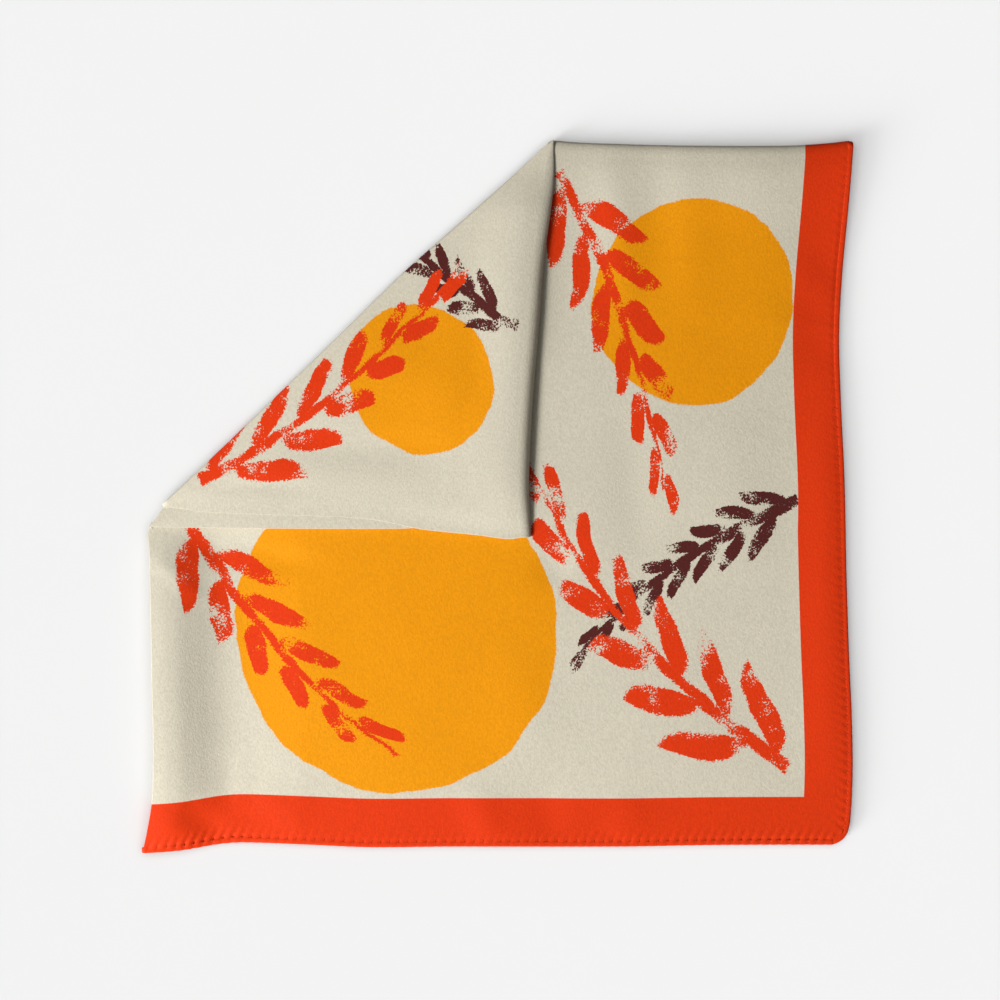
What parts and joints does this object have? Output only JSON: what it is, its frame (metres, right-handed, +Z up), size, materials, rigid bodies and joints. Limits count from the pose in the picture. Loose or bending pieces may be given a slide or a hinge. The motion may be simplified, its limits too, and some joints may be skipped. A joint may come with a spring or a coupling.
{
  "type": "folded silk square scarf",
  "caption": "Large square silk scarf with rolled hems, folded flat to a quarter with one corner turned down; worn at the neck or head, shown laid on a surface.",
  "frame": {"origin": "on the surface that the scarf lies on, below the middle of its folded outline", "axes": "+X from the left fold to the right hem, +Y from the bottom hem to the top fold, +Z up from the surface"},
  "size_m": [0.4596, 0.4612, 0.0128],
  "materials": {
    "printed_silk": "fine silk crepe with a soft sheen, printed on a cream ground",
    "border_silk": "the same silk crepe, printed red-orange to its edge, rolled and sewn by hand"
  },
  "bodies": {
    "root": {"front_panel": "printed_silk", "turned_corner": "printed_silk", "inner_fold": "printed_silk", "hidden_layers": "printed_silk", "hem_bottom": "border_silk", "hem_right": "border_silk"}
  },
  "joints": []
}
